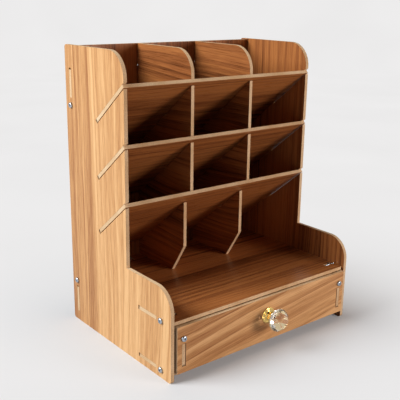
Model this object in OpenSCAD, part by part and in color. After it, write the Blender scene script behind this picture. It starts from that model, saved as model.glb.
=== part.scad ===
// Pen stand with three sloping shelves, two dividers and a drawer.
// Every board is cut from the same sheet. Boards lock together with tabs, open slots and
// half laps, and screws with nuts held in T-shaped slots pull the corners tight.
// X runs across the front, Y from the front to the back, and Z up from the table.

/* [Overall size] */
// Width over the two side panels
body_w = 250; // [236:1:300]
// Depth of the side panels at the foot
body_d = 188; // [182:1:200]
// Height of the side panels
body_h = 310; // [304:1:340]
// Thickness of every board
board_t = 4; // [3:0.5:5]

/* [Side panels] */
// How far the upper front edge stands behind the lower one
upper_setback = 75.5; // [70:0.5:82]
// Height of the step in front of the shelves
step_h = 96; // [92:1:104]
// Radius of the rounded top front corners
top_round = 26; // [10:1:28]
// Radius of the rounded front corner of the step
step_round = 24; // [10:1:27]
// Radius that eases the other corners
corner_round = 3; // [1:0.5:4]

/* [Back panel] */
// Distance from the back edge of the side panels to the back panel
back_inset = 8; // [2:0.5:12]
// How far the back panel and the dividers end below the side panels
top_drop = 1; // [0.5:0.5:4]

/* [Shelves] */
// Height from the upper shelf's front corner to the top of the side panels
top_shelf_drop = 33.5; // [32:0.5:40]
// Height of the lowest shelf's rear edge above the deck; the middle shelf lies halfway
low_shelf_rise = 17.5; // [8:0.5:24]
// Slope of the shelves, falling to the back
shelf_angle = 38.7; // [34:0.1:40]
// Length of the shelf tabs, along the slope from the front edge
shelf_tab_len = 62.8; // [40:0.1:80]
// Room left under a shelf in its sloping slots
shelf_play = 0.8; // [0.2:0.1:1.5]

/* [Dividers] */
// Clear width between the two dividers
middle_bay = 76; // [60:1:90]
// How far the dividers stand behind the shelf fronts
divider_setback = 3.5; // [1:0.5:8]
// The same setback below the lowest shelf
lower_divider_setback = 14.5; // [10:0.5:20]
// Height of the sloping cut at a divider's foot
foot_cut_h = 33.5; // [20:0.5:40]
// Depth of the sloping cut at a divider's foot
foot_cut_d = 21; // [10:0.5:30]
// Height of a divider's lower tab above the deck
divider_tab_rise = 26; // [10:1:40]

/* [Deck and base] */
// Height of the open gap under the base board
foot_gap = 7; // [4:0.5:10]
// Clear height between the base board and the deck
drawer_space = 48.5; // [44:0.5:52]
// How far the front edges of deck and base stand behind the side panels
board_inset = 2; // [1:0.5:4]

/* [Tabs] */
// Length of the tabs on deck, base, back panel and dividers
tab_len = 29; // [20:0.5:34]
// Spare length at one end of each slot
tab_end_gap = 1.9; // [0.5:0.1:3]
// Spare width of each slot
slot_play = 0.2; // [0.1:0.1:0.5]
// Distance from a screw to the tab beside it
screw_to_tab = 8; // [7:0.5:12]

/* [Screws and nuts] */
// Diameter of the board screws
screw_d = 3; // [2.5:0.5:3]
// Length of the board screws under the head
screw_len = 16; // [14:1:18]
// Diameter of the screw heads
head_d = 6.2; // [5.8:0.1:7]
// Height of the screw heads
head_h = 2.3; // [1.8:0.1:2.6]
// Width of a nut across its flats
nut_flats = 5.5; // [5:0.1:6]
// Thickness of a nut
nut_h = 2.4; // [1.8:0.1:2.6]
// Distance from a board's edge to its nut
nut_edge = 4.6; // [4.2:0.1:5]
// Distance from the front edge of the side panels to the deck and base screws
screw_front = 16; // [14:0.5:20]
// Distance from the top of the side panels to the upper screws
top_screw_drop = 62.5; // [56:0.5:80]
// Distance from a divider to the nearest screw in the back panel
rear_screw_offset = 20; // [10:0.5:24]

/* [Drawer] */
// Gap between the drawer front and each side panel
front_side_gap = 2; // [1:0.5:3]
// Gap between the drawer front and the deck above it
front_top_gap = 1; // [0.5:0.1:2]
// How far the drawer front covers the edge of the base board
front_overlap = 1.5; // [0.5:0.1:3]
// Gap between the closed drawer front and the board edges behind it
front_rest_gap = 0.3; // [0.2:0.1:0.5]
// Gap between a drawer side and the nuts in the deck and base
side_nut_gap = 0.5; // [0.3:0.1:2]
// Height of the drawer sides
drawer_side_h = 42.7; // [40:0.1:43]
// Running gap under the drawer
slide_gap = 0.3; // [0.2:0.1:0.5]
// Gap between the back of the drawer and the back panel
drawer_rear_gap = 9; // [6:0.5:14]
// Height of the drawer bottom above the lower edge of the drawer sides
bottom_rise = 1.5; // [1:0.1:4]
// Height of the tabs on the drawer sides
side_tab_h = 22.5; // [18:0.5:24]
// Height of those tabs above the lower edge of the drawer sides
side_tab_rise = 6.2; // [5:0.1:8]
// Height of the drawer's screws above those tabs
side_screw_rise = 6; // [5:0.5:8]
// Spare width of the slots for those tabs, on the inner side
side_tab_play = 0.8; // [0.2:0.1:1]
// Distance from either end of the drawer to the tabs of its bottom
bottom_tab_inset = 24; // [20:1:40]

/* [Knob] */
// Height of the knob above the table
knob_z = 38.5; // [30:0.5:44]
// Diameter of the knob's round foot
knob_foot_d = 17.5; // [14:0.5:24]
// Thickness of that foot
knob_foot_h = 1.8; // [1:0.1:3]
// Diameter of the cup that holds the crystal
knob_cup_d = 10.5; // [9.5:0.5:12]
// Smallest diameter of the waist
knob_waist_d = 7.5; // [7:0.5:9]
// Height of that cup's rim
knob_cup_h = 1.4; // [1:0.1:2]
// Length of the metal base
knob_base_len = 7; // [6.5:0.5:9]
// Largest diameter of the crystal
crystal_d = 24.4; // [18:0.2:28]
// Length of the crystal
crystal_len = 16.7; // [14:0.1:20]
// Diameter of the knob's screw
knob_screw_d = 4; // [3:0.5:4.5]
// How far the knob's screw reaches into the metal base
knob_screw_grip = 5; // [4:0.5:5]

/* [Hidden] */

$fn = 48;
// Cutting shapes reach this far past the surface they cut
over = 1;
// The sloping slots are cut this far past the front edge
slot_mouth = 2 * board_t;

// Colours
laminate = "#C9985F";
shaded_laminate = "#9C6A3E";
steel = "#D5D8DB";
gold = "#D9B45A";
crystal_clear = "#E6EEF2";

// Clearances that every screw and nut shares
hole_play = 0.3;
thread_gap = 0.05;
nut_play = 0.2;
slot_spare = 3;
head_dome_r = 5;
tip_bevel = 0.5;
recess_w = 0.8;
recess_len = 3.4;
recess_depth = 1.2;

// The carcass, from the front edges of the side panels
inner_x = body_w / 2 - board_t;
back_y = body_d - back_inset - board_t;
base_top = foot_gap + board_t;
deck_z = base_top + drawer_space;
deck_top = deck_z + board_t;
panel_top = body_h - top_drop;
divider_x = (middle_bay + board_t) / 2;
base_d = back_y + board_t - board_inset;
deck_d = back_y - board_inset;

// The T-shaped slots
t_slot_len = screw_len - board_t + slot_spare;
t_slot_w = screw_d + hole_play;
nut_room_w = nut_flats + nut_play;
nut_room_len = nut_h + nut_play;

// Tabs that side panels, back panel and dividers share
side_tab_y = screw_front + screw_to_tab;
top_screw_z = body_h - top_screw_drop;
top_tab_z = top_screw_z + screw_to_tab;
low_tab_z = base_top;
low_screw_z = low_tab_z + tab_len + tab_end_gap / 2 + screw_to_tab;
divider_tab_z = deck_top + divider_tab_rise;
rear_screw_x = divider_x + rear_screw_offset;
rear_tab_x = rear_screw_x + screw_to_tab;
back_screw_y = back_y + board_t / 2;

// The shelves, numbered from the top, each from its lower front corner
shelf_len = (back_y - upper_setback - board_t * sin(shelf_angle)) / cos(shelf_angle);
lap_at = shelf_len / 2;
top_shelf_z = body_h - top_shelf_drop;
low_shelf_z = deck_top + low_shelf_rise + shelf_len * sin(shelf_angle);
shelf_front_z = [top_shelf_z, (top_shelf_z + low_shelf_z) / 2, low_shelf_z];

// The drawer, from the same front edges
front_back_y = board_inset - front_rest_gap;
front_face_y = front_back_y - board_t;
front_w = 2 * (inner_x - front_side_gap);
front_low_z = base_top - front_overlap;
front_top_z = deck_z - front_top_gap;
side_x = inner_x - nut_edge - nut_h - side_nut_gap - board_t / 2;
side_low_z = base_top + slide_gap;
rear_face_y = back_y - drawer_rear_gap;
drawer_back_y = rear_face_y - board_t;
side_tab_z = side_low_z + side_tab_rise;
side_screw_z = side_tab_z + side_tab_h + side_screw_rise;
side_tab_end_gap = 1.2;
bottom_z = side_low_z + bottom_rise;
bottom_w = 2 * side_x - board_t;
bottom_slot_len = tab_len + tab_end_gap;
bottom_tab_y = [front_back_y + bottom_tab_inset, drawer_back_y - bottom_tab_inset - bottom_slot_len];

// The knob
knob_head_d = 7.4;
knob_head_h = 2.6;
waist_r = 4;
knob_tail = front_face_y - knob_base_len - crystal_len;

// The origin lies on the table below the middle of the whole object, knob included
front_y = -(body_d + knob_tail) / 2;

module placed() {
    translate([0, front_y, 0])
        children();
}

// ---- Shapes for the boards, drawn flat ----

// Waste outside a rounded corner; way points out of the board
module corner_waste(corner, way, r) {
    translate(corner - r * way)
        difference() {
            translate([for (w = way) w > 0 ? 0 : -r - over])
                square(r + over);
            circle(r = r);
        }
}

// Slot for a screw and its nut, running inward along +X from the board's edge
module t_slot() {
    translate([-over, -t_slot_w / 2])
        square([t_slot_len + over, t_slot_w]);
    translate([nut_edge, -nut_room_w / 2])
        square([nut_room_len, nut_room_w]);
}

// Strip across a board that reaches past both its side edges, where its ends are the tabs
module tab_strip(low_edge, reach) {
    translate([-reach, low_edge])
        square([2 * reach, tab_len]);
}

// Stands a flat drawing up in the YZ plane, between x and x + board_t
module stand_side(x) {
    translate([x, 0, 0])
        rotate([90, 0, 90])
            linear_extrude(board_t)
                children();
}

// Stands a flat drawing up in the XZ plane, between y and y + board_t
module stand_front(y) {
    translate([0, y + board_t, 0])
        rotate([90, 0, 0])
            linear_extrude(board_t)
                children();
}

// Lays a flat drawing down, between z and z + board_t
module lay_flat(z) {
    translate([0, 0, z])
        linear_extrude(board_t)
            children();
}

// Repeats a flat drawing on both sides of the middle
module both_sides() {
    children();
    mirror([1, 0])
        children();
}

// ---- Screws and nuts ----

// Screw with its head above z = 0 and its shank below
module pan_screw(shank_d, length, top_d, top_h) {
    difference() {
        union() {
            rotate_extrude()
                intersection() {
                    square([top_d / 2, top_h]);
                    translate([0, top_h - head_dome_r])
                        circle(r = head_dome_r);
                }
            translate([0, 0, tip_bevel - length])
                cylinder(d = shank_d, h = length - tip_bevel + top_h / 4);
            translate([0, 0, -length])
                cylinder(d1 = shank_d - 2 * tip_bevel, d2 = shank_d, h = tip_bevel);
        }
        for (turn = [0, 90])
            rotate(turn)
                translate([-recess_len / 2, -recess_w / 2, top_h - recess_depth])
                    cube([recess_len, recess_w, recess_depth + over]);
    }
}

module board_screw() {
    pan_screw(screw_d, screw_len, head_d, head_h);
}

// Nut of a board screw, at its place on the shank; its flats bear on the slot's walls
module board_nut() {
    translate([0, 0, -board_t - nut_edge - nut_h])
        difference() {
            rotate(30)
                cylinder(d = nut_flats / cos(30), h = nut_h, $fn = 6);
            translate([0, 0, -over])
                cylinder(d = screw_d + 2 * thread_gap, h = nut_h + 2 * over);
        }
}

// The places of the four screws in the right side panel, pointing in along -X
module at_panel_screws() {
    for (z = [foot_gap, deck_z])
        translate([body_w / 2, screw_front, z + board_t / 2])
            rotate([90, 0, 90])
                children();
    for (z = [low_screw_z, top_screw_z])
        translate([body_w / 2, back_screw_y, z])
            rotate([0, 90, 0])
                children();
}

// The places of the two screws that go through the back panel into the deck
module at_back_screws() {
    for (side = [-1, 1])
        translate([side * rear_screw_x, back_y + board_t, deck_z + board_t / 2])
            rotate([-90, 0, 0])
                children();
}

// The places of the drawer's screws, at its front and at its rear
module at_drawer_screws(face_y, tilt) {
    for (side = [-1, 1])
        translate([side * side_x, face_y, side_screw_z])
            rotate([tilt, 0, 0])
                rotate(90)
                    children();
}

// ---- Carcass ----

// The slots that a shelf slides into, open at the front; length runs along the slope
module shelf_slots(length) {
    for (z = shelf_front_z)
        translate([upper_setback, z])
            rotate(-shelf_angle)
                translate([-slot_mouth, -shelf_play])
                    square([length + slot_mouth, board_t + shelf_play]);
}

module side_outline() {
    difference() {
        union() {
            square([body_d, step_h]);
            translate([upper_setback, 0])
                square([body_d - upper_setback, body_h]);
        }
        corner_waste([0, step_h], [-1, 1], step_round);
        corner_waste([upper_setback, body_h], [-1, 1], top_round);
        corner_waste([body_d, body_h], [1, 1], corner_round);
        corner_waste([0, 0], [-1, -1], corner_round);
        corner_waste([body_d, 0], [1, -1], corner_round);
    }
}

module side_panel_drawing() {
    difference() {
        side_outline();
        shelf_slots(shelf_tab_len + tab_end_gap);
        for (z = [foot_gap, deck_z])
            translate([side_tab_y, z])
                square([tab_len + tab_end_gap, board_t + slot_play]);
        for (z = [low_tab_z, top_tab_z])
            translate([back_y, z])
                square([board_t + slot_play, tab_len + tab_end_gap]);
        for (z = [foot_gap, deck_z])
            translate([screw_front, z + board_t / 2])
                circle(d = screw_d + hole_play);
        for (z = [low_screw_z, top_screw_z])
            translate([back_screw_y, z])
                circle(d = screw_d + hole_play);
    }
}

module left_side_panel() {
    color(laminate)
        placed()
            stand_side(-body_w / 2)
                side_panel_drawing();
}

module right_side_panel() {
    color(laminate)
        placed()
            stand_side(inner_x)
                side_panel_drawing();
}

module back_panel() {
    color(shaded_laminate)
        placed()
            stand_front(back_y)
                difference() {
                    union() {
                        translate([-inner_x, base_top])
                            square([2 * inner_x, panel_top - base_top]);
                        for (z = [low_tab_z, top_tab_z])
                            tab_strip(z, body_w / 2);
                    }
                    both_sides() {
                        for (z = [low_screw_z, top_screw_z])
                            translate([inner_x, z])
                                rotate(180)
                                    t_slot();
                        for (z = [divider_tab_z, top_tab_z])
                            translate([divider_x - board_t / 2, z])
                                square([board_t + slot_play, tab_len + tab_end_gap]);
                        translate([rear_tab_x, deck_z])
                            square([tab_len + tab_end_gap, board_t + slot_play]);
                        translate([rear_screw_x, deck_z + board_t / 2])
                            circle(d = screw_d + hole_play);
                    }
                }
}

// Shelf drawn flat, with its front edge on y = 0 and the slope along +Y
module shelf_drawing() {
    difference() {
        union() {
            translate([-inner_x, 0])
                square([2 * inner_x, shelf_len]);
            translate([-body_w / 2, 0])
                square([body_w, shelf_tab_len]);
        }
        both_sides()
            translate([divider_x - (board_t + slot_play) / 2, lap_at])
                square([board_t + slot_play, shelf_len - lap_at + over]);
    }
}

module shelf(number) {
    color(shaded_laminate)
        placed()
            translate([0, upper_setback, shelf_front_z[number]])
                rotate([-shelf_angle, 0, 0])
                    linear_extrude(board_t)
                        shelf_drawing();
}

module upper_shelf() {
    shelf(0);
}

module middle_shelf() {
    shelf(1);
}

module lower_shelf() {
    shelf(2);
}

module divider_drawing() {
    front = upper_setback + divider_setback;
    low_front = upper_setback + lower_divider_setback;
    // The front edge steps back inside the slot of the lowest shelf
    slot_middle = shelf_front_z[2] + board_t / 2 / cos(shelf_angle);
    step_z = slot_middle - divider_setback * tan(shelf_angle);
    low_step_z = slot_middle - lower_divider_setback * tan(shelf_angle);
    difference() {
        union() {
            polygon([
                [back_y, deck_top],
                [back_y, panel_top],
                [front, panel_top],
                [front, step_z],
                [low_front, low_step_z],
                [low_front, deck_top + foot_cut_h],
                [low_front + foot_cut_d, deck_top]
            ]);
            for (z = [divider_tab_z, top_tab_z])
                translate([low_front + foot_cut_d, z])
                    square([back_y + board_t - low_front - foot_cut_d, tab_len]);
        }
        shelf_slots(lap_at);
        corner_waste([front, panel_top], [-1, 1], top_round);
    }
}

module divider(side) {
    color(shaded_laminate)
        placed()
            stand_side(side * divider_x - board_t / 2)
                divider_drawing();
}

module left_divider() {
    divider(-1);
}

module right_divider() {
    divider(1);
}

// Flat board between the side panels, with its side tabs and screw slots
module cross_board_drawing(depth) {
    difference() {
        union() {
            translate([-inner_x, board_inset])
                square([2 * inner_x, depth]);
            tab_strip(side_tab_y, body_w / 2);
        }
        both_sides() {
            translate([inner_x, screw_front])
                rotate(180)
                    t_slot();
            corner_waste([inner_x, board_inset], [1, -1], corner_round);
        }
    }
}

module deck_board() {
    color(shaded_laminate)
        placed()
            lay_flat(deck_z)
                difference() {
                    union() {
                        cross_board_drawing(deck_d);
                        for (x = [-rear_tab_x - tab_len, rear_tab_x])
                            translate([x, board_inset])
                                square([tab_len, deck_d + board_t]);
                    }
                    both_sides()
                        translate([rear_screw_x, back_y])
                            rotate(-90)
                                t_slot();
                }
}

module base_board() {
    color(shaded_laminate)
        placed()
            lay_flat(foot_gap)
                cross_board_drawing(base_d);
}

// ---- Drawer ----

// The slots and screw holes that a drawer's end boards have for the drawer sides
module end_board_cuts() {
    both_sides() {
        translate([side_x - board_t / 2 - side_tab_play, side_tab_z - side_tab_end_gap])
            square([board_t + side_tab_play, side_tab_h + side_tab_end_gap]);
        translate([side_x, side_screw_z])
            circle(d = screw_d + hole_play);
    }
}

module drawer_front() {
    color(laminate)
        placed()
            stand_front(front_face_y)
                difference() {
                    translate([-front_w / 2, front_low_z])
                        square([front_w, front_top_z - front_low_z]);
                    end_board_cuts();
                    translate([0, knob_z])
                        circle(d = knob_screw_d + hole_play);
                }
}

module drawer_back() {
    color(shaded_laminate)
        placed()
            stand_front(drawer_back_y)
                difference() {
                    translate([-front_w / 2, side_low_z])
                        square([front_w, drawer_side_h]);
                    end_board_cuts();
                }
}

module drawer_side_drawing() {
    difference() {
        union() {
            translate([front_back_y, side_low_z])
                square([drawer_back_y - front_back_y, drawer_side_h]);
            translate([front_face_y, side_tab_z])
                square([rear_face_y - front_face_y, side_tab_h]);
        }
        translate([front_back_y, side_screw_z])
            t_slot();
        translate([drawer_back_y, side_screw_z])
            rotate(180)
                t_slot();
        for (y = bottom_tab_y)
            translate([y, bottom_z])
                square([bottom_slot_len, board_t + slot_play]);
    }
}

module drawer_side(side) {
    color(shaded_laminate)
        placed()
            stand_side(side * side_x - board_t / 2)
                drawer_side_drawing();
}

module drawer_left_side() {
    drawer_side(-1);
}

module drawer_right_side() {
    drawer_side(1);
}

module drawer_bottom() {
    color(shaded_laminate)
        placed()
            lay_flat(bottom_z) {
                translate([-bottom_w / 2, front_back_y])
                    square([bottom_w, drawer_back_y - front_back_y]);
                for (y = bottom_tab_y)
                    tab_strip(y, bottom_w / 2 + board_t);
            }
}

// ---- Knob ----

// Puts a shape on the drawer front, with its +Z axis pointing to the user
module on_drawer_front() {
    placed()
        translate([0, front_face_y, knob_z])
            rotate([90, 0, 0])
                children();
}

// Turned metal base: round foot, hollowed waist and the cup behind the crystal
module knob_base() {
    color(gold)
        on_drawer_front()
            difference() {
                rotate_extrude() {
                    square([knob_foot_d / 2, knob_foot_h]);
                    translate([0, knob_base_len - knob_cup_h])
                        square([knob_cup_d / 2, knob_cup_h]);
                    difference() {
                        square([knob_cup_d / 2, knob_base_len]);
                        translate([knob_waist_d / 2 + waist_r, (knob_foot_h + knob_base_len) / 2])
                            circle(r = waist_r);
                    }
                }
                translate([0, 0, -over])
                    cylinder(d = knob_screw_d + 2 * thread_gap, h = knob_screw_grip + tip_bevel + over);
            }
}

// Cut crystal: each ring of corners is turned against the next, so flat facets lie between
module knob_crystal() {
    // Share of the length, share of the diameter, corners and turn of each ring
    rings = [
        [0, 0.38, 8, 0],
        [0.22, 0.74, 8, 22.5],
        [0.42, 1, 16, 11.25],
        [0.62, 1, 16, 11.25],
        [0.82, 0.82, 8, 22.5],
        [1, 0.54, 8, 0]
    ];
    thin = 0.01;
    color(crystal_clear)
        on_drawer_front()
            hull()
                for (ring = rings)
                    translate([0, 0, knob_base_len + ring[0] * (crystal_len - thin)])
                        rotate(ring[3])
                            cylinder(d = crystal_d * ring[1], h = thin, $fn = ring[2]);
}

module knob_screw() {
    color(steel)
        placed()
            translate([0, front_back_y, knob_z])
                rotate([-90, 0, 0])
                    pan_screw(knob_screw_d, board_t + knob_screw_grip, knob_head_d, knob_head_h);
}

// ---- Groups of screws and nuts ----

module right_panel_screws() {
    color(steel)
        placed()
            at_panel_screws()
                board_screw();
}

module right_panel_nuts() {
    color(steel)
        placed()
            at_panel_screws()
                board_nut();
}

module left_panel_screws() {
    mirror([1, 0, 0])
        right_panel_screws();
}

module left_panel_nuts() {
    mirror([1, 0, 0])
        right_panel_nuts();
}

module back_panel_screws() {
    color(steel)
        placed()
            at_back_screws()
                board_screw();
}

module back_panel_nuts() {
    color(steel)
        placed()
            at_back_screws()
                board_nut();
}

module drawer_front_screws() {
    color(steel)
        placed()
            at_drawer_screws(front_face_y, 90)
                board_screw();
}

module drawer_front_nuts() {
    color(steel)
        placed()
            at_drawer_screws(front_face_y, 90)
                board_nut();
}

module drawer_rear_screws() {
    color(steel)
        placed()
            at_drawer_screws(rear_face_y, -90)
                board_screw();
}

module drawer_rear_nuts() {
    color(steel)
        placed()
            at_drawer_screws(rear_face_y, -90)
                board_nut();
}

left_side_panel();
right_side_panel();
back_panel();
upper_shelf();
middle_shelf();
lower_shelf();
left_divider();
right_divider();
deck_board();
base_board();
drawer_front();
drawer_back();
drawer_left_side();
drawer_right_side();
drawer_bottom();
knob_base();
knob_crystal();
knob_screw();
left_panel_screws();
left_panel_nuts();
right_panel_screws();
right_panel_nuts();
back_panel_screws();
back_panel_nuts();
drawer_front_screws();
drawer_front_nuts();
drawer_rear_screws();
drawer_rear_nuts();
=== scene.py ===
import math
import random
from contextlib import contextmanager

import bmesh
import bpy
from bpy.props import FloatProperty, FloatVectorProperty, IntProperty, PointerProperty
from mathutils import Matrix, Vector


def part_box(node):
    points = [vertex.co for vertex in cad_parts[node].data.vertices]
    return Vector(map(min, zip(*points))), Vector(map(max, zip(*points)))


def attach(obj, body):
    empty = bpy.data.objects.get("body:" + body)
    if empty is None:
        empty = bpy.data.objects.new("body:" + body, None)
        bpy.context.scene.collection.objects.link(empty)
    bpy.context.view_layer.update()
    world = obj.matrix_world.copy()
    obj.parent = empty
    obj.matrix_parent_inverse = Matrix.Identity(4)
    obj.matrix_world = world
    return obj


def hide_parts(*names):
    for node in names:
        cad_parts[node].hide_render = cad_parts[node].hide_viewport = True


bl_info = {
    "name": "Pen Stand Finish",
    "version": (1, 0, 0),
    "blender": (4, 5, 0),
    "location": "View3D > Sidebar > Pen Stand",
    "description": "Gives a pen stand with a drawer its eased boards, turned hardware, knob and finishes",
    "category": "Object",
}

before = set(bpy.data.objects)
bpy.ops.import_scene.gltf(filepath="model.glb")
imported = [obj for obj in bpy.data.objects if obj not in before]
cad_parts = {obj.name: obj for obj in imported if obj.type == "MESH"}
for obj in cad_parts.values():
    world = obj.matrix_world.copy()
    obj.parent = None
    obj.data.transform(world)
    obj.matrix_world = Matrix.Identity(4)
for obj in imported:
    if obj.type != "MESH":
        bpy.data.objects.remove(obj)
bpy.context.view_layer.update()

ALONG_X, ALONG_Y, ALONG_Z = Vector((1, 0, 0)), Vector((0, 1, 0)), Vector((0, 0, 1))
# Which way each board's grain runs, and which way its thickness; a sloping board's is measured
CARCASS_BOARDS = {
    "left_side_panel": (ALONG_Z, ALONG_X),
    "right_side_panel": (ALONG_Z, ALONG_X),
    "back_panel": (ALONG_Z, ALONG_Y),
    "upper_shelf": (ALONG_X, None),
    "middle_shelf": (ALONG_X, None),
    "lower_shelf": (ALONG_X, None),
    "left_divider": (ALONG_Y, ALONG_X),
    "right_divider": (ALONG_Y, ALONG_X),
    "deck_board": (ALONG_X, ALONG_Z),
    "base_board": (ALONG_X, ALONG_Z),
}
DRAWER_BOARDS = {
    "drawer_front": (Vector((0.99, 0, 0.141)), ALONG_Y),
    "drawer_back": (ALONG_X, ALONG_Y),
    "drawer_left_side": (ALONG_Y, ALONG_X),
    "drawer_right_side": (ALONG_Y, ALONG_X),
    "drawer_bottom": (ALONG_X, ALONG_Z),
}
# The boards with a face on the outside of the stand, and which way along its thickness that face looks
OUTER_FACES = {"left_side_panel": -1, "right_side_panel": 1, "back_panel": 1, "drawer_front": -1}
# Where on the printed sheet the first board is cut, and how far on the next one is, along the
# grain and across it, in metres
CARCASS_CUTS = ((0.0, 0.0), (0.7, 0.61))
DRAWER_CUTS = ((0.3, 7.1), (0.9, 0.47))
# How far on the sheet a board's other face lies
OTHER_FACE = 0.41
# The printed sheets: how far the grain sways, in metres, its growth rings per metre, how strong
# its dark streaks are, and how far the whole print is moved towards its dark tone. On the dividers
# that move is painted shade, which darkens their faces in the pockets; on the drawer front it only
# makes the print a little darker
SHEETS = {
    "honey_laminate": {"sway": 0.03, "rings_per_metre": 150, "streaks": 0.12, "shade": 0.0},
    "flamed_laminate": {"sway": 0.03, "rings_per_metre": 88, "streaks": 0.23, "shade": 0.012},
    # The deep sheets are darker, browner copies of the outer ones: painted shade for the faces inside the
    # stand
    "deep_laminate": {"sway": 0.014, "rings_per_metre": 190, "streaks": 0.18, "shade": 0.0},
    "deep_flamed_laminate": {"sway": 0.045, "rings_per_metre": 150, "streaks": 0.13, "shade": 0.045},
}
# The material slots of a board
OUTSIDE, EDGE, INSIDE = 0, 1, 2
# The drawer front reaches this far higher than its solid, which hides most of the gap under the deck
FRONT_RISE = 0.0006

# Each group of screws and nuts: its body, and the way out of the wood from the nuts to the heads
SCREW_GROUPS = {
    "left_panel": ("carcass", -ALONG_X),
    "right_panel": ("carcass", ALONG_X),
    "back_panel": ("carcass", ALONG_Y),
    "drawer_front": ("drawer", -ALONG_Y),
    "drawer_rear": ("drawer", ALONG_Y),
}
BOARD_SCREW_D = 0.003
NUT_BORE_D = 0.0031
KNOB_SCREW_D = 0.004
KNOB_SCREW_SEED = 3
# The crystal's back facets lie in this many wedges, and one in so many of them is mirror coated
CRYSTAL_WEDGES, COATED_EVERY = 16, 3

# The view is from the left of the front and from a little above
CAMERA_PLACE = Vector((-0.4796, -0.5623, 0.3609))
CAMERA_AZIMUTH, CAMERA_ELEVATION, CAMERA_ROLL = (math.radians(a) for a in (-38.83, 16.33, 0.82))
CAMERA_LENS, CAMERA_SENSOR = 63.02, 36.0
# Where each softbox hangs, its width and height, and the point at which both look
KEY_PLACE, KEY_SIZE = (-1.853, 0.726, 1.49), (1.3, 1.5)
FILL_PLACE, FILL_SIZE = (0.72, -1.3, 0.42), (0.6, 0.6)
LIT_POINT = (0, 0, 0.15)
# The steps in which the floor's rim rises, in metres, and by how much each one widens it
FLOOR_RADIUS = 2.6
RIM_STEPS = ((0.02, 1.05), (0.08, 1.05), (0.16, 1.04), (0.3, 1.02), (1.6, 1.0))
# How much of the floor's even tone is taken away at the stand's foot, and how far out, in metres,
# that is down to half. This is a painted shadow round the foot, over the lit floor's real shadow
FOOT_SHADE, FOOT_SHADE_HALVES = 0.86, 0.055


def linear(code):
    """Linear RGBA of an sRGB hex colour."""
    parts = [int(code[i : i + 2], 16) / 255 for i in (1, 3, 5)]
    return tuple(c / 12.92 if c <= 0.04045 else ((c + 0.055) / 1.055) ** 2.4 for c in parts) + (1.0,)


def colour(name, description, code):
    """A colour that the user may change."""
    return FloatVectorProperty(
        name=name, description=description, default=linear(code), size=4, min=0, max=1, subtype="COLOR"
    )


def length(name, description, millimetres):
    """A small length that the user may change."""
    return FloatProperty(
        name=name,
        description=description,
        default=millimetres / 1000,
        min=0,
        soft_max=5 * millimetres / 1000,
        precision=5,
        subtype="DISTANCE",
        unit="LENGTH",
    )


# ---- What a user would change ----


class BoardSettings(bpy.types.PropertyGroup):
    edge_ease: length("Edge ease", "Width of the chamfer along every cut edge", 0.15)
    pale_grain: colour("Pale grain", "Lightest tone of the outer wood grain", "#ECBE87")
    warm_grain: colour("Warm grain", "Middle tone of the outer wood grain", "#D09C66")
    dark_grain: colour("Dark grain", "Dark streaks of the outer wood grain", "#A0683A")
    # The deep tones are painted shade: darker, browner copies of the outer grain for the faces inside the
    # stand
    painted_shade_pale: colour("Deep pale grain", "Lightest tone of the inner wood grain", "#B47440")
    painted_shade_warm: colour("Deep warm grain", "Middle tone of the inner wood grain", "#965B32")
    painted_shade_dark: colour("Deep dark grain", "Dark streaks of the inner wood grain", "#552E16")
    core: colour("Core", "Colour of the cut fibreboard", "#E2C6A0")


class HardwareSettings(bpy.types.PropertyGroup):
    thread_pitch: length("Thread pitch", "Distance between two turns of the screw thread", 0.5)
    thread_depth: length("Thread depth", "Depth of the screw thread", 0.3)
    drive_length: length("Cross length", "Length of the cross recess in a board screw", 3.4)
    drive_width: length("Cross width", "Width of the wings of the cross recess", 0.85)
    zinc: colour("Zinc", "Colour of the zinc plating", "#BCC4CE")


class KnobSettings(bpy.types.PropertyGroup):
    facet_ease: length("Facet ease", "Width of the polished edges between the facets", 0.7)
    gilt: colour("Gilt", "Colour of the gold plating", "#FCDC88")
    crystal: colour("Crystal", "Tint of the cut crystal", "#FDF8EC")
    coating: colour("Coating", "Tint of the mirror coating on the back facets", "#FFECC4")


class StageSettings(bpy.types.PropertyGroup):
    floor: colour("Floor", "Colour of the floor and the backdrop", "#EEEDED")
    key_power: FloatProperty(
        name="Key light", description="Power of the soft light on the left", default=80, min=0, unit="POWER"
    )
    fill_power: FloatProperty(
        name="Fill light", description="Power of the soft light in front", default=14.5, min=0, unit="POWER"
    )
    sky_strength: FloatProperty(
        name="Sky", description="Strength of the even light from all round", default=0.03, min=0
    )
    seed: IntProperty(name="Seed", description="Picks how far each screw is turned", default=7)


# ---- Tools for modelling ----


def take_up(piece):
    """Leaves one piece selected and active."""
    bpy.ops.object.select_all(action="DESELECT")
    piece.select_set(True)
    bpy.context.view_layer.objects.active = piece


@contextmanager
def editing(piece):
    """Opens one piece in edit mode with all of it selected, and closes it again."""
    take_up(piece)
    bpy.ops.object.mode_set(mode="EDIT")
    bpy.ops.mesh.select_mode(type="VERT")
    bpy.ops.mesh.select_all(action="SELECT")
    yield
    bpy.ops.object.mode_set(mode="OBJECT")


def pick(piece, kind, test):
    """Selects the faces or edges of the piece in edit mode that pass the test."""
    bpy.ops.mesh.select_mode(type={"faces": "FACE", "edges": "EDGE"}[kind])
    bpy.ops.mesh.select_all(action="DESELECT")
    mesh = bmesh.from_edit_mesh(piece.data)
    mesh.normal_update()
    for part in getattr(mesh, kind):
        if test(part):
            part.select_set(True)
    mesh.select_flush_mode()
    bmesh.update_edit_mesh(piece.data)


def start_from(primitive, name, **sizes):
    """Adds a primitive, which is then shaped."""
    bpy.ops.object.select_all(action="DESELECT")
    primitive(**sizes)
    piece = bpy.context.active_object
    piece.name = name
    return piece


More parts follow.
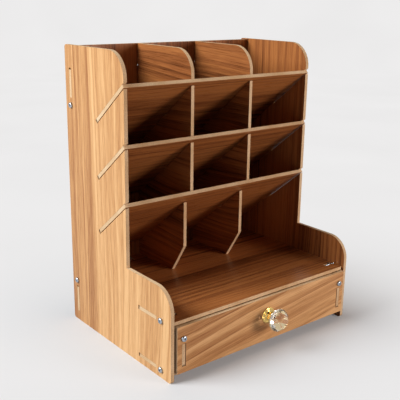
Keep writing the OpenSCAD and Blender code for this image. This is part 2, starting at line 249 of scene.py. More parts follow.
def link_copy(mesh, name):
    """A new object with its own copy of a mesh."""
    piece = bpy.data.objects.new(name, mesh.copy())
    bpy.context.scene.collection.objects.link(piece)
    return piece


def apply_modifier(piece, kind, **settings):
    """Adds a modifier with its settings and applies it."""
    take_up(piece)
    modifier = piece.modifiers.new(kind.title(), kind)
    for name, value in settings.items():
        setattr(modifier, name, value)
    bpy.ops.object.modifier_apply(modifier=modifier.name)


def ease(piece, width, degrees):
    """Chamfers every edge that turns by more than an angle."""
    apply_modifier(
        piece,
        "BEVEL",
        width=width,
        segments=1,
        limit_method="ANGLE",
        angle_limit=math.radians(degrees),
        use_clamp_overlap=True,
    )


def cut(piece, cutter, operation="DIFFERENCE"):
    """Cuts the piece with a cutter, which is then thrown away."""
    apply_modifier(piece, "BOOLEAN", object=cutter, operation=operation, solver="EXACT")
    bpy.data.objects.remove(cutter, do_unlink=True)


def join(pieces, name):
    """Joins pieces into one."""
    take_up(pieces[0])
    for piece in pieces:
        piece.select_set(True)
    if len(pieces) > 1:
        bpy.ops.object.join()
    joined = bpy.context.view_layer.objects.active
    joined.name = name
    joined.data.name = name
    return joined


def smooth(piece, degrees):
    """Smooths the shading over edges flatter than the given angle."""
    take_up(piece)
    bpy.ops.object.shade_smooth_by_angle(angle=math.radians(degrees))


def draw_profile(name, points):
    """Draws an open line in the XZ plane by extruding one vertex from point to point."""
    piece = start_from(bpy.ops.mesh.primitive_plane_add, name, size=0.001, location=(0, 0, 0))
    with editing(piece):
        bpy.ops.mesh.merge(type="CENTER")
        bpy.ops.transform.translate(value=(points[0][0], 0, points[0][1]))
        for (r0, z0), (r1, z1) in zip(points, points[1:]):
            bpy.ops.mesh.extrude_region_move(TRANSFORM_OT_translate={"value": (r1 - r0, 0, z1 - z0)})
    return piece


def turn_profile(name, points, steps):
    """Turns a profile on the Z axis into a closed solid. The profile starts and ends on the axis."""
    piece = draw_profile(name, points)
    with editing(piece):
        bpy.ops.mesh.spin(steps=steps, angle=2 * math.pi, center=(0, 0, 0), axis=(0, 0, 1))
        bpy.ops.mesh.select_all(action="SELECT")
        bpy.ops.mesh.remove_doubles(threshold=1e-6)
        bpy.ops.mesh.normals_make_consistent(inside=False)
    return piece


def arc(centre, radius, start, end, count):
    """Points of an arc in a profile, with angles in degrees."""
    steps = [math.radians(start + (end - start) * i / count) for i in range(count + 1)]
    return [(centre[0] + radius * math.cos(a), centre[1] + radius * math.sin(a)) for a in steps]


def in_metres(points):
    """The points of a profile that is given in millimetres."""
    return [(r / 1000, z / 1000) for r, z in points]


def standing(outward):
    """The turn that points a shape's +Z axis outward."""
    return outward.to_track_quat("Z", "Y").to_matrix().to_4x4()


def solids_of(node):
    """The lowest and highest corner of each separate solid of a CAD node."""
    mesh = bmesh.new()
    mesh.from_mesh(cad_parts[node].data)
    bmesh.ops.remove_doubles(mesh, verts=mesh.verts, dist=1e-6)
    left, boxes = set(mesh.verts), []
    while left:
        open_ends, solid = [left.pop()], []
        while open_ends:
            vert = open_ends.pop()
            solid.append(vert.co.copy())
            for edge in vert.link_edges:
                other = edge.other_vert(vert)
                if other in left:
                    left.remove(other)
                    open_ends.append(other)
        boxes.append((Vector(map(min, zip(*solid))), Vector(map(max, zip(*solid)))))
    mesh.free()
    return sorted(boxes, key=lambda box: tuple(round(c, 4) for c in box[0]))


def copy_node(node, name, merge, flat_degrees):
    """Copies a CAD node's mesh, merges its doubles and makes its flat faces whole."""
    piece = link_copy(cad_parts[node].data, name)
    with editing(piece):
        bpy.ops.mesh.remove_doubles(threshold=merge)
        bpy.ops.mesh.dissolve_limited(angle_limit=math.radians(flat_degrees))
    return piece


def hand_over(piece, node, body, slot, *materials):
    """Lets a finished piece stand for a CAD node and ride on its body."""
    piece.data.materials.clear()
    for material in materials:
        piece.data.materials.append(material)
    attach(piece, body)
    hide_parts(node)


# ---- Tools for materials ----

# The sockets of a Mix node that mixes colours
MIX_SHARE, MIX_FIRST, MIX_SECOND, MIX_RESULT = 0, 6, 7, 2


def new_material(name):
    """A material whose node tree is still empty."""
    material = bpy.data.materials.new(name)
    material.use_nodes = True
    material.node_tree.nodes.clear()
    return material


def shared_material(name, make):
    """A material that several pieces use, made only once."""
    return bpy.data.materials.get(name) or make()


def add(tree, kind, inputs=(), output=0, stops=(), **settings):
    """Adds a node with its settings and, on a colour ramp, its stops. The inputs, in order or by
    name, are values or links from other sockets. Gives back one output socket, if there is one."""
    node = tree.nodes.new("ShaderNode" + kind)
    for name, value in settings.items():
        setattr(node, name, value)
    named = inputs if isinstance(inputs, dict) else dict(enumerate(inputs))
    for name, value in named.items():
        if isinstance(value, bpy.types.NodeSocket):
            tree.links.new(value, node.inputs[name])
        else:
            node.inputs[name].default_value = value
    if stops:
        marks = node.color_ramp.elements
        marks.remove(marks[-1])
        marks[0].position, marks[0].color = stops[0]
        for place, tone in stops[1:]:
            marks.new(place).color = tone
    return node.outputs[output] if node.outputs else None


def toned(tone, share):
    """A colour made darker or lighter by a share."""
    return [min(1, c * share) for c in tone[:3]] + [1]


def clouded(tree, tone, spots_per_metre, detail, dim, spread):
    """Soft clouds, and a tone that is dimmed where their value is low and full where it is high."""
    place = add(tree, "TexCoord", output="Object")
    clouds = add(tree, "TexNoise", {"Vector": place, "Scale": spots_per_metre, "Detail": detail})
    tint = add(tree, "ValToRGB", (clouds,), stops=((spread[0], toned(tone, dim)), (spread[1], tone)))
    return clouds, tint


# ---- Materials ----


def laminate(name, pale, warm, dark, sway, rings_per_metre, streaks, shade):
    """Wood-grain paper under melamine resin, pressed on fibreboard: a semi-gloss film whose printed
    grain has broad tone bands, dark streaks in long flames that are sharp on one side, and fine
    fibres along it."""
    material = new_material(name)
    tree = material.node_tree
    parts = add(tree, "SeparateXYZ", (add(tree, "UVMap", uv_map="Grain"),)).node.outputs
    along, across = parts["X"], parts["Y"]

    def grain_noise(along_per_metre, across_per_metre, across_value, detail, roughness):
        """Noise drawn out along the grain; the two scales are in spots per metre."""
        stretched = add(
            tree,
            "CombineXYZ",
            (
                add(tree, "Math", (along, along_per_metre), operation="MULTIPLY"),
                add(tree, "Math", (across_value, across_per_metre), operation="MULTIPLY"),
            ),
        )
        inputs = {"Vector": stretched, "Scale": 1.0, "Detail": detail, "Roughness": roughness}
        return add(tree, "TexNoise", inputs, noise_dimensions="2D")

    # Long flames: the growth rings wander over a few hundred millimetres
    wander = grain_noise(3.2, 12, across, 1.0, 0.4)
    ring = add(tree, "Math", (wander, sway, across), operation="MULTIPLY_ADD")
    rings = grain_noise(1.2, rings_per_metre, ring, 3.5, 0.58)
    bands = grain_noise(1.0, 26, ring, 1.0, 0.5)
    # Fibres under 1 mm wide and about 30 mm long
    fibres = grain_noise(30, 1300, ring, 3.0, 0.65)
    # Late wood: each ring darkens slowly to a sharp outer edge, in some stretches more than others
    crowding = grain_noise(2.0, 40, ring, 2.0, 0.6)
    count = add(tree, "Math", (ring, rings_per_metre * 0.8), operation="MULTIPLY")
    count = add(tree, "Math", (crowding, 3.0, count), operation="MULTIPLY_ADD")
    growth = add(tree, "Math", (count,), operation="FRACT")
    late = add(tree, "Math", (growth, 2.2), operation="POWER")
    vigour = add(tree, "MapRange", (grain_noise(3.0, 34, ring, 2.0, 0.5), 0.4, 0.62, 0.0, -streaks))
    # One plank of the print, along the sheet's margin, is darker; the shade moves all of it darker,
    # which on the dividers is painted shade
    plank = add(tree, "MapRange", (ring, -0.043, -0.027, -0.12 - shade, -shade))

    tone = add(tree, "Math", (rings, 0.6), operation="MULTIPLY")
    for part, share in ((bands, 0.36), (fibres, 0.36), (late, vigour), (plank, 1.0)):
        tone = add(tree, "Math", (part, share, tone), operation="MULTIPLY_ADD")
    grain = add(tree, "ValToRGB", (tone,), stops=((0.40, dark), (0.59, warm), (0.73, pale), (0.91, warm)))
    # The pressing plate leaves a shallow relief along the fibres, at most 0.04 mm deep
    relief = add(tree, "Bump", {"Strength": 0.25, "Distance": 0.00004, "Height": fibres})
    inputs = {
        "Base Color": grain,
        "Roughness": add(tree, "MapRange", (fibres, 0.3, 0.7, 0.26, 0.35)),
        "IOR": 1.5,
        "Specular IOR Level": 0.24,
        "Normal": relief,
    }
    add(tree, "OutputMaterial", (add(tree, "BsdfPrincipled", inputs),))
    return material


def fibreboard_edge(board, thickness):
    """Saw-cut medium-density fibreboard: matt tan fibre with fine specks, between the two thin
    dark lines of the laminate."""
    material = new_material("saw_cut_fibreboard")
    tree = material.node_tree
    place = add(tree, "TexCoord", output="Object")
    # Fibre bundles show as specks of about 0.7 mm
    specks = add(tree, "TexNoise", {"Vector": place, "Scale": 1400.0, "Detail": 3.0, "Roughness": 0.7})
    stops = ((0.3, toned(board.core, 0.72)), (0.5, board.core), (0.72, toned(board.core, 1.14)))
    fibre = add(tree, "ValToRGB", (specks,), stops=stops)
    # The saw scorches some stretches a little darker, tens of millimetres long
    scorch = add(tree, "TexNoise", {"Vector": place, "Scale": 32.0, "Detail": 2.0, "Roughness": 0.5})
    scorch = add(tree, "MapRange", (scorch, 0.4, 0.65, 0.0, 0.5))
    inputs = {MIX_SHARE: scorch, MIX_FIRST: fibre, MIX_SECOND: linear("#D8C0A0")}
    worn = add(tree, "Mix", inputs, MIX_RESULT, data_type="RGBA", blend_type="MULTIPLY")
    # The paper and its resin are 0.2 mm thick on either face
    depth = add(tree, "SeparateXYZ", (add(tree, "UVMap", uv_map="Grain"),), "Y")
    from_middle = add(tree, "Math", (depth, thickness / 2), operation="SUBTRACT")
    from_middle = add(tree, "Math", (from_middle,), operation="ABSOLUTE")
    film = add(tree, "Math", (from_middle, thickness / 2 - 0.0002), operation="GREATER_THAN")
    film = add(tree, "Math", (film, 0.45), operation="MULTIPLY")
    inputs = {MIX_SHARE: film, MIX_FIRST: worn, MIX_SECOND: board.dark_grain}
    inputs = {
        "Base Color": add(tree, "Mix", inputs, MIX_RESULT, data_type="RGBA"),
        "Roughness": 0.75,
        "IOR": 1.5,
        "Specular IOR Level": 0.1,
        "Normal": add(tree, "Bump", {"Strength": 0.4, "Distance": 0.0001, "Height": specks}),
    }
    add(tree, "OutputMaterial", (add(tree, "BsdfPrincipled", inputs),))
    return material


def plated(name, tone, spots_per_metre, detail, dim, spread, smoothest, roughest):
    """A mirror of metal that is a little cloudy."""
    material = new_material(name)
    tree = material.node_tree
    clouds, tint = clouded(tree, tone, spots_per_metre, detail, dim, spread)
    gloss = add(tree, "MapRange", (clouds, 0.3, 0.7, smoothest, roughest))
    inputs = {"Base Color": tint, "Metallic": 1.0, "Roughness": gloss}
    add(tree, "OutputMaterial", (add(tree, "BsdfPrincipled", inputs),))
    return material


def bright_zinc(hardware):
    """Steel with bright zinc plating: a bluish mirror, with plating clouds of about 1 mm."""
    name = "bright_zinc_plated_steel"
    cloud = {"spots_per_metre": 900.0, "detail": 3.0, "dim": 0.86, "spread": (0.35, 0.65)}
    return shared_material(
        name, lambda: plated(name, hardware.zinc, smoothest=0.16, roughest=0.3, **cloud)
    )


def gold_plate(knob):
    """Polished zinc alloy with gold plating: a warm mirror, with faint clouds of about 2 mm."""
    cloud = {"spots_per_metre": 500.0, "detail": 3.0, "dim": 0.85, "spread": (0.3, 0.7)}
    return plated("polished_gold_plating", knob.gilt, smoothest=0.1, roughest=0.2, **cloud)


def mirror_coating(knob):
    """Mirror coating behind some facets of the crystal: it throws the light back out of the front,
    which gives warm white facets that are a little cloudy."""
    cloud = {"spots_per_metre": 420.0, "detail": 2.0, "dim": 0.85, "spread": (0.35, 0.65)}
    return plated("mirror_coated_crystal", knob.coating, smoothest=0.01, roughest=0.05, **cloud)


def cut_crystal(knob):
    """Cut and polished crystal glass: clear, strongly bending, with very faint clouds in its polish."""
    material = new_material("cut_crystal_glass")
    tree = material.node_tree
    cloud = {"spots_per_metre": 260.0, "detail": 2.0, "dim": 0.97, "spread": (0.35, 0.65)}
    clouds, tint = clouded(tree, knob.crystal, **cloud)
    gloss = add(tree, "MapRange", (clouds, 0.3, 0.7, 0.0, 0.02))
    inputs = {"Base Color": tint, "Roughness": gloss, "IOR": 1.56, "Transmission Weight": 1.0}
    add(tree, "OutputMaterial", (add(tree, "BsdfPrincipled", inputs),))
    return material


def painted_floor(stage):
    """Matt painted board: pale, with the least mottling. What looks straight at it, or sees it
    through glass, gets an even pale tone on top of the lit one, less near the stand's foot, so that
    its real shadow stays and the floor round the foot is darker: a painted shadow. Metal sees less of
    that tone, which keeps some dark in its reflections."""
    material = new_material("matt_painted_floor")
    tree = material.node_tree
    cloud = {"spots_per_metre": 3.0, "detail": 2.0, "dim": 0.97, "spread": (0.3, 0.7)}
    tint = clouded(tree, stage.floor, **cloud)[1]
    path = add(tree, "LightPath").node.outputs
    straight = (path["Is Camera Ray"], path["Is Transmission Ray"])
    seen = add(tree, "Math", straight, operation="MAXIMUM")
    seen = add(tree, "Math", (path["Is Glossy Ray"], 0.7, seen), operation="MULTIPLY_ADD")
    # It throws little light back up at the stand, as a grey floor would
    inputs = {MIX_SHARE: seen, MIX_FIRST: linear("#9A9A9C"), MIX_SECOND: linear("#DCE0E4")}
    lit = add(tree, "BsdfDiffuse", (add(tree, "Mix", inputs, MIX_RESULT, data_type="RGBA"),))
    even = add(tree, "Emission", {"Color": tint, "Strength": 1.0})
    # How far a point lies outside the rectangle of the stand's feet
    low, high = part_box("left_side_panel")[0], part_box("right_side_panel")[1]
    place = add(tree, "TexCoord", output="Object")
    beside = add(tree, "VectorMath", (place, (low + high) / 2), operation="SUBTRACT")
    beside = add(tree, "VectorMath", (beside,), operation="ABSOLUTE")
    beside = add(tree, "VectorMath", (beside, (high - low) / 2), operation="SUBTRACT")
    beside = add(tree, "VectorMath", (beside, (0, 0, 0)), operation="MAXIMUM")
    away = add(tree, "VectorMath", (beside,), "Value", operation="LENGTH")
    # The even tone fades away towards the foot: a painted shadow round the stand
    halvings = add(tree, "Math", (away, FOOT_SHADE_HALVES), operation="DIVIDE")
    fade = add(tree, "Math", (0.5, halvings), operation="POWER")
    left_over = add(tree, "Math", (fade, -FOOT_SHADE, 1.0), operation="MULTIPLY_ADD")
    share = add(tree, "Math", (seen, left_over), operation="MULTIPLY")
    add(tree, "OutputMaterial", (add(tree, "MixShader", (share, lit, even)),))
    return material


# ---- Boards ----


def sheet(name, board):
    """One of the printed sheets; the deep ones are browner and darker: painted shade for the inside."""
    tones = (board.pale_grain, board.warm_grain, board.dark_grain)
    if name.startswith("deep"):
        tones = (board.painted_shade_pale, board.painted_shade_warm, board.painted_shade_dark)
    return shared_material(name, lambda: laminate(name, *tones, **SHEETS[name]))


def board_finishes(node, board):
    """A board's materials in the order of its slots. The drawer front and the dividers are cut
    where the flames are strong."""
    low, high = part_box("deck_board")
    outer = "flamed_laminate" if node == "drawer_front" else "honey_laminate"
    # The inside faces get a deep sheet, whose darker tone is painted shade; the dividers' is darker still
    inner = "deep_flamed_laminate" if "divider" in node else "deep_laminate"
    edge = shared_material("saw_cut_fibreboard", lambda: fibreboard_edge(board, high.z - low.z))
    return sheet(outer, board), edge, sheet(inner, board)


def shelf_normal(node):
    """The upward normal of a sloping board, from its largest face."""
    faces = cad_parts[node].data.polygons
    best = max(faces, key=lambda face: face.area if face.normal.z > 0 else 0)
    return best.normal.copy()


def lay_grain(mesh, outer_side, grain, through, cut_place):
    """Lays the printed sheets on a board's two faces at real size. On the cut edges, the pattern
    runs from 0 at one face to the board's thickness at the other."""
    across = through.cross(grain).normalized()
    for layer in list(mesh.uv_layers):
        mesh.uv_layers.remove(layer)
    layer = mesh.uv_layers.new(name="Grain")
    low = min(vert.co.dot(through) for vert in mesh.vertices)
    for face in mesh.polygons:
        facing = face.normal.dot(through)
        if abs(facing) < 0.9:
            face.material_index = EDGE
        else:
            # Inside faces take the deep sheet, which is painted shade
            face.material_index = OUTSIDE if facing * outer_side > 0 else INSIDE
        shift = OTHER_FACE if facing > 0 else 0.0
        for corner in face.loop_indices:
            place = mesh.vertices[mesh.loops[corner].vertex_index].co
            if face.material_index == EDGE:
                layer.data[corner].uv = (place.dot(grain), place.dot(through) - low)
            else:
                layer.data[corner].uv = (
                    place.dot(grain) + cut_place[0] + shift,
                    place.dot(across) + cut_place[1] + shift,
                )


def finish_boards(boards, body, cuts, board):
    """Copies the boards of a body, eases their cut edges and finishes them."""
    first, step = cuts
    for number, (node, (grain, through)) in enumerate(boards.items()):
        piece = copy_node(node, "board_" + node, merge=1e-6, flat_degrees=0.4)
        if node == "drawer_front":
            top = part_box(node)[1].z - 0.0001
            with editing(piece):
                pick(piece, "faces", lambda face: face.normal.z > 0.9 and face.calc_center_median().z > top)
                bpy.ops.transform.translate(value=(0, 0, FRONT_RISE))
        ease(piece, board.edge_ease, 40)
        smooth(piece, 20)
        hand_over(piece, node, body, "laminated_board", *board_finishes(node, board))
        cut_place = (first[0] + step[0] * number, first[1] + step[1] * number)
        lay_grain(piece.data, OUTER_FACES.get(node, 0), grain, through or shelf_normal(node), cut_place)


class PENSTAND_OT_carcass_boards(bpy.types.Operator):
    """Ease and finish the boards of the carcass"""

    bl_idname = "pen_stand.carcass_boards"
    bl_label = "Carcass Boards"

    def execute(self, context):
        finish_boards(CARCASS_BOARDS, "carcass", CARCASS_CUTS, context.scene.pen_stand_boards)
        return {"FINISHED"}


class PENSTAND_OT_drawer_boards(bpy.types.Operator):
    """Ease and finish the boards of the drawer"""

    bl_idname = "pen_stand.drawer_boards"
    bl_label = "Drawer Boards"

    def execute(self, context):
        finish_boards(DRAWER_BOARDS, "drawer", DRAWER_CUTS, context.scene.pen_stand_boards)
        return {"FINISHED"}


# ---- Screws and nuts ----


def model_head(name, shank_d, head_d, head_h):
    """Turns a pan head with a short neck under it, which the thread runs into."""
    dome_r, foot_bevel = head_h * 0.63, head_h * 0.07
    neck_r, neck_end = shank_d * 0.45, shank_d * -0.4
    return turn_profile(
        name,
        [(0, head_h)]
        + arc((head_d / 2 - dome_r, head_h - dome_r), dome_r, 90, 8, 7)
        + [
            (head_d / 2, head_h * 0.3),
            (head_d / 2, foot_bevel),
            (head_d / 2 - foot_bevel, 0),
            (neck_r, 0),
            (neck_r, neck_end),
            (0, neck_end),
        ],
        48,
    )


def cut_cross(head, head_h, drive_length, drive_width):
    """Cuts the cross recess, whose two wings narrow towards their foot."""
    middle = (0, 0, head_h)
    for quarter in (0, math.pi / 2):
        wing = start_from(bpy.ops.mesh.primitive_cube_add, "wing", size=1, location=middle)
        with editing(wing):
            bpy.ops.transform.resize(value=(drive_length, drive_width, head_h * 1.3), center_override=middle)
            pick(wing, "faces", lambda face: face.normal.z < -0.9)
            bpy.ops.transform.resize(value=(0.45, 0.7, 1), center_override=middle)
        wing.data.transform(Matrix.Translation(middle) @ Matrix.Rotation(quarter, 4, "Z"))
        wing.location = (0, 0, 0)
        cut(head, wing)


def wind_thread(name, shank_d, shank_len, pitch, depth):
    """Winds one turn of the thread down the shank and closes both ends."""
    crest, root, foot = shank_d / 2, shank_d / 2 - depth, -shank_len
    # One ridge of the thread, with its heights in turns above the shank's end
    ridge = [(root, 0.4), (crest, 0.8), (crest, 0.95), (root, 1.4)]
    thread = draw_profile(name, [(r, foot + turns * pitch) for r, turns in ridge])
    apply_modifier(
        thread,
        "SCREW",
        axis="Z",
        angle=2 * math.pi,
        iterations=int((shank_len - shank_d * 0.5) / pitch) - 1,
        screw_offset=pitch,
        steps=20,
        render_steps=20,
        use_merge_vertices=True,
        merge_threshold=1e-6,
        use_smooth_shade=False,
    )
    middle = foot / 2
    with editing(thread):
        bpy.ops.mesh.remove_doubles(threshold=2e-6)
        pick(thread, "edges", lambda edge: edge.is_boundary and edge.verts[0].co.z > middle)
        bpy.ops.mesh.edge_face_add()
        pick(thread, "edges", lambda edge: edge.is_boundary and edge.verts[0].co.z < middle)
        bpy.ops.mesh.edge_face_add()
        bpy.ops.mesh.select_all(action="SELECT")
        bpy.ops.mesh.normals_make_consistent(inside=False)
    return thread


def model_screw(name, shank_d, shank_len, head_d, head_h, drive_length, hardware):
    """Models a pan-head screw with a cross recess and a rolled thread; its head stands on z = 0."""
    head = model_head(name, shank_d, head_d, head_h)
    cut_cross(head, head_h, drive_length, hardware.drive_width)
    thread = wind_thread(name + "_thread", shank_d, shank_len, hardware.thread_pitch, hardware.thread_depth)
    screw = join([head, thread], name)
    smooth(screw, 32)
    return screw


def model_nut(name, flats, height, bore_d):
    """Models a hexagon nut with both faces chamfered; its lower face lies on z = 0."""
    corner = flats / 2 / math.cos(math.pi / 6)
    nut = start_from(
        bpy.ops.mesh.primitive_cylinder_add, name, vertices=6, radius=corner, depth=height, location=(0, 0, 0)
    )
    with editing(nut):
        bpy.ops.transform.translate(value=(0, 0, height / 2))
    # A turned blank, whose chamfers take off the hexagon's corners
    fall, wide, flat_r, past = (corner - flats / 2) * 0.7, corner * 1.01, flats / 2 * 0.97, 0.0001
    blank = [(0, -past), (flat_r, -past), (wide, fall)]
    blank += [(wide, height - fall), (flat_r, height + past), (0, height + past)]
    cut(nut, turn_profile(name + "_blank", blank, 48), "INTERSECT")
    bore_r, past = bore_d / 2, 0.001
    bore = [(0, -past), (bore_r, -past), (bore_r, height + past), (0, height + past)]
    cut(nut, turn_profile(name + "_bore", bore, 32))
    smooth(nut, 25)
    return nut


def set_out(model, places, name):
    """Copies a modelled shape to each place, with a mesh of its own, and joins the copies."""
    copies = []
    for place in places:
        copy = link_copy(model.data, name)
        copy.data.transform(place)
        copies.append(copy)
    return join(copies, name)


def head_places(node, outward, head_h, turns):
    """Where the heads of a group of screws bear on the wood, each turned at random."""
    places = []
    for low, high in solids_of(node):
        tip_to_top = abs((high - low).dot(outward))
        seat = (low + high) / 2 + outward * (tip_to_top / 2 - head_h)
        turn = Matrix.Rotation(turns.uniform(0, math.pi), 4, "Z")
        places.append(Matrix.Translation(seat) @ standing(outward) @ turn)
    return places


def nut_places(node, outward, height):
    """Where the nuts of a group lie, the narrow way across each one across its slot."""
    places = []
    for low, high in solids_of(node):
        foot = (low + high) / 2 - outward * height / 2
        extent, side = high - low, Vector((0, 0, 0))
        axes = [i for i in range(3) if abs(outward[i]) < 0.5]
        side[min(axes, key=lambda i: extent[i])] = 1
        turn = Matrix((side.cross(outward), side, outward)).transposed().to_4x4()
        places.append(Matrix.Translation(foot) @ turn @ Matrix.Rotation(math.pi / 6, 4, "Z"))
    return places


class PENSTAND_OT_board_screws(bpy.types.Operator):
    """Model the pan-head screws that hold the boards"""

    bl_idname = "pen_stand.board_screws"
    bl_label = "Board Screws"

    def execute(self, context):
        hardware = context.scene.pen_stand_hardware
        turns = random.Random(context.scene.pen_stand_stage.seed)
        low, high = solids_of("drawer_front_screws")[0]
        head_d, whole = high.x - low.x, high.y - low.y
        head_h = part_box("right_panel_screws")[1].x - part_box("right_side_panel")[1].x
        sizes = (BOARD_SCREW_D, whole - head_h, head_d, head_h)
        model = model_screw("board_screw", *sizes, hardware.drive_length, hardware)
        for group, (body, outward) in SCREW_GROUPS.items():
            node = group + "_screws"
            piece = set_out(model, head_places(node, outward, head_h, turns), "turned_" + node)
            hand_over(piece, node, body, "bright_zinc", bright_zinc(hardware))
        bpy.data.objects.remove(model, do_unlink=True)
        return {"FINISHED"}


class PENSTAND_OT_board_nuts(bpy.types.Operator):
    """Model the hexagon nuts in the T-shaped slots"""

    bl_idname = "pen_stand.board_nuts"
    bl_label = "Board Nuts"

    def execute(self, context):
        low, high = solids_of("drawer_front_nuts")[0]
        height = high.y - low.y
        model = model_nut("board_nut", min(high.x - low.x, high.z - low.z), height, NUT_BORE_D)
        zinc = bright_zinc(context.scene.pen_stand_hardware)
        for group, (body, outward) in SCREW_GROUPS.items():
            node = group + "_nuts"
            piece = set_out(model, nut_places(node, outward, height), "chamfered_" + node)
            hand_over(piece, node, body, "bright_zinc", zinc)
        bpy.data.objects.remove(model, do_unlink=True)
        return {"FINISHED"}


# ---- Knob ----


class PENSTAND_OT_knob_base(bpy.types.Operator):
    """Turn the gold-plated base of the knob"""

    bl_idname = "pen_stand.knob_base"
    bl_label = "Knob Base"

    def execute(self, context):
        low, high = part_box("knob_base")
        foot = Vector(((low.x + high.x) / 2, high.y, (low.z + high.z) / 2))
        # A foot with a rolled edge, a hollow waist and a bead under the cup, in millimetres
        profile = in_metres(
            [(0, 0), (8.6, 0), (8.75, 0.15), (8.75, 0.7), (8.55, 0.95), (8.1, 1.0), (7.9, 1.15)]
            + arc((6.9, 1.05), 0.75, 20, 150, 6)
            + [(5.95, 1.35), (5.4, 1.7)]
            + arc((6.1, 3.65), 2.25, 245, 135, 12)
            + [(4.7, 5.4), (5.1, 5.65)]
            + arc((4.65, 6.2), 0.6, -50, 60, 6)
            + [(4.6, 6.95), (0, 7)]
        )
        widen = (high.x - low.x) / 2 / max(r for r, z in profile)
        stretch = (high.y - low.y) / max(z for r, z in profile)
        piece = turn_profile("turned_knob_base", [(r * widen, z * stretch) for r, z in profile], 72)
        piece.data.transform(Matrix.Translation(foot) @ standing(-ALONG_Y))
        smooth(piece, 35)
        hand_over(piece, "knob_base", "drawer", "gilt_metal", gold_plate(context.scene.pen_stand_knob))
        return {"FINISHED"}


class PENSTAND_OT_knob_crystal(bpy.types.Operator):
    """Ease the facets of the crystal"""

    bl_idname = "pen_stand.knob_crystal"
    bl_label = "Knob Crystal"

    def execute(self, context):
        knob = context.scene.pen_stand_knob
        piece = copy_node("knob_crystal", "cut_knob_crystal", merge=2e-5, flat_degrees=1)
        ease(piece, knob.facet_ease, 4)
        hand_over(piece, "knob_crystal", "drawer", "crystal", cut_crystal(knob), mirror_coating(knob))
        low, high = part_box("knob_crystal")
        middle = (low + high) / 2
        for face in piece.data.polygons:
            face.use_smooth = False
            out = face.center - middle
            wedge = math.floor(math.degrees(math.atan2(out.z, out.x)) / (360 / CRYSTAL_WEDGES))
            slopes_back = 0.2 < face.normal.y < 0.98
            if slopes_back and wedge % COATED_EVERY == 0:
                face.material_index = 1
        return {"FINISHED"}


class PENSTAND_OT_knob_screw(bpy.types.Operator):
    """Model the screw that holds the knob from inside the drawer"""

    bl_idname = "pen_stand.knob_screw"
    bl_label = "Knob Screw"

    def execute(self, context):
        hardware = context.scene.pen_stand_hardware
        low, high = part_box("knob_screw")
        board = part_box("drawer_front")[1].y
        head_h = high.y - board
        sizes = (KNOB_SCREW_D, board - low.y, high.x - low.x, head_h)
        model = model_screw("knob_screw_model", *sizes, hardware.drive_length * 1.2, hardware)
        places = head_places("knob_screw", ALONG_Y, head_h, random.Random(KNOB_SCREW_SEED))
        piece = set_out(model, places, "turned_knob_screw")
        bpy.data.objects.remove(model, do_unlink=True)
        hand_over(piece, "knob_screw", "drawer", "bright_zinc", bright_zinc(hardware))
        return {"FINISHED"}


# ---- Stage ----


def soft_light(name, place, size, power, tint):
    """A large softbox that looks at the stand."""
    lamp = bpy.data.lights.new(name, "AREA")
    lamp.shape, lamp.energy, lamp.color = "RECTANGLE", power, linear(tint)[:3]
    lamp.size, lamp.size_y = size
    holder = bpy.data.objects.new(name, lamp)
    bpy.context.scene.collection.objects.link(holder)
    holder.location = place
    holder.rotation_euler = (Vector(LIT_POINT) - Vector(place)).to_track_quat("-Z", "Y").to_euler()


class PENSTAND_OT_stage(bpy.types.Operator):
    """Build the floor with its curved backdrop and set the soft lights"""

    bl_idname = "pen_stand.stage"
    bl_label = "Stage"

    def execute(self, context):
        stage = context.scene.pen_stand_stage
        disc = {"vertices": 96, "radius": FLOOR_RADIUS, "fill_type": "NGON", "location": (0, 0, 0)}
        floor = start_from(bpy.ops.mesh.primitive_circle_add, "studio_floor", **disc)
        with editing(floor):
            # The rim curves up into a low wall all round
            for rise, widen in RIM_STEPS:
                pick(floor, "edges", lambda edge: edge.is_boundary)
                bpy.ops.mesh.extrude_edges_move(TRANSFORM_OT_translate={"value": (0, 0, rise)})
                bpy.ops.transform.resize(value=(widen, widen, 1), center_override=(0, 0, 0))
            bpy.ops.mesh.select_all(action="SELECT")
            bpy.ops.mesh.normals_make_consistent(inside=True)
        smooth(floor, 40)
        floor.data.materials.append(painted_floor(stage))

        soft_light("key_light", KEY_PLACE, KEY_SIZE, stage.key_power, "#FFFFFF")
        soft_light("fill_light", FILL_PLACE, FILL_SIZE, stage.fill_power, "#FFEBE0")
        world = bpy.data.worlds.new("even_light")
        context.scene.world = world
        world.use_nodes = True
        tree = world.node_tree
        tree.nodes.clear()
        # The crystal sees a pale studio all round
        through_glass = add(tree, "LightPath", output="Is Transmission Ray")
        strength = add(tree, "Math", (through_glass, 0.62, stage.sky_strength), operation="MULTIPLY_ADD")
        sky = add(tree, "Background", {"Color": linear("#FFFFFF"), "Strength": strength})
        add(tree, "OutputWorld", (sky,))
        context.scene.view_settings.view_transform = "Standard"
        return {"FINISHED"}


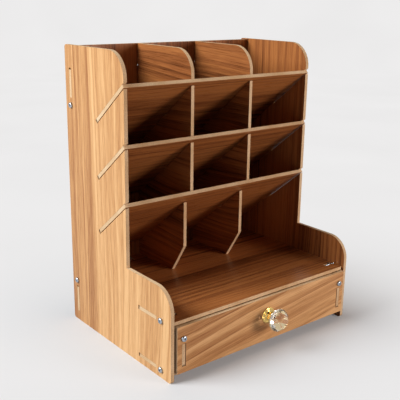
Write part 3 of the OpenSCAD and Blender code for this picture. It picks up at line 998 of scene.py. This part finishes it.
class PENSTAND_OT_camera(bpy.types.Operator):
    """Place the camera at the viewing angle"""

    bl_idname = "pen_stand.camera"
    bl_label = "Camera"

    def execute(self, context):
        camera = bpy.data.cameras.new("view_camera")
        camera.lens, camera.sensor_width = CAMERA_LENS, CAMERA_SENSOR
        holder = bpy.data.objects.new("view_camera", camera)
        context.scene.collection.objects.link(holder)
        level = math.cos(CAMERA_ELEVATION)
        back = Vector(
            (math.sin(CAMERA_AZIMUTH) * level, -math.cos(CAMERA_AZIMUTH) * level, math.sin(CAMERA_ELEVATION))
        )
        right = (-back).cross(ALONG_Z).normalized()
        up = right.cross(-back)
        c, s = math.cos(CAMERA_ROLL), math.sin(CAMERA_ROLL)
        turn = Matrix((c * right + s * up, -s * right + c * up, back)).transposed().to_4x4()
        holder.matrix_world = Matrix.Translation(CAMERA_PLACE) @ turn
        context.scene.camera = holder
        return {"FINISHED"}


class PENSTAND_PT_finish(bpy.types.Panel):
    """Lists the sizes, colours and steps of the finish"""

    bl_label = "Pen Stand Finish"
    bl_idname = "PENSTAND_PT_finish"
    bl_space_type = "VIEW_3D"
    bl_region_type = "UI"
    bl_category = "Pen Stand"

    def draw(self, context):
        for group in SETTINGS:
            box = self.layout.box()
            values = getattr(context.scene, group)
            for name in values.__annotations__:
                box.prop(values, name)
        for step in OPERATORS:
            self.layout.operator(step.bl_idname)


SETTINGS = {
    "pen_stand_boards": BoardSettings,
    "pen_stand_hardware": HardwareSettings,
    "pen_stand_knob": KnobSettings,
    "pen_stand_stage": StageSettings,
}
OPERATORS = (
    PENSTAND_OT_camera,
    PENSTAND_OT_carcass_boards,
    PENSTAND_OT_drawer_boards,
    PENSTAND_OT_board_screws,
    PENSTAND_OT_board_nuts,
    PENSTAND_OT_knob_base,
    PENSTAND_OT_knob_crystal,
    PENSTAND_OT_knob_screw,
    PENSTAND_OT_stage,
)


def register():
    for kind in (*SETTINGS.values(), *OPERATORS, PENSTAND_PT_finish):
        bpy.utils.register_class(kind)
    for name, kind in SETTINGS.items():
        setattr(bpy.types.Scene, name, PointerProperty(type=kind))


def unregister():
    for name in SETTINGS:
        delattr(bpy.types.Scene, name)
    for kind in (PENSTAND_PT_finish, *reversed(OPERATORS), *SETTINGS.values()):
        bpy.utils.unregister_class(kind)


def main():
    register()
    for step in OPERATORS:
        group, name = step.bl_idname.split(".")
        getattr(getattr(bpy.ops, group), name)()


if __name__ == "__main__":
    main()
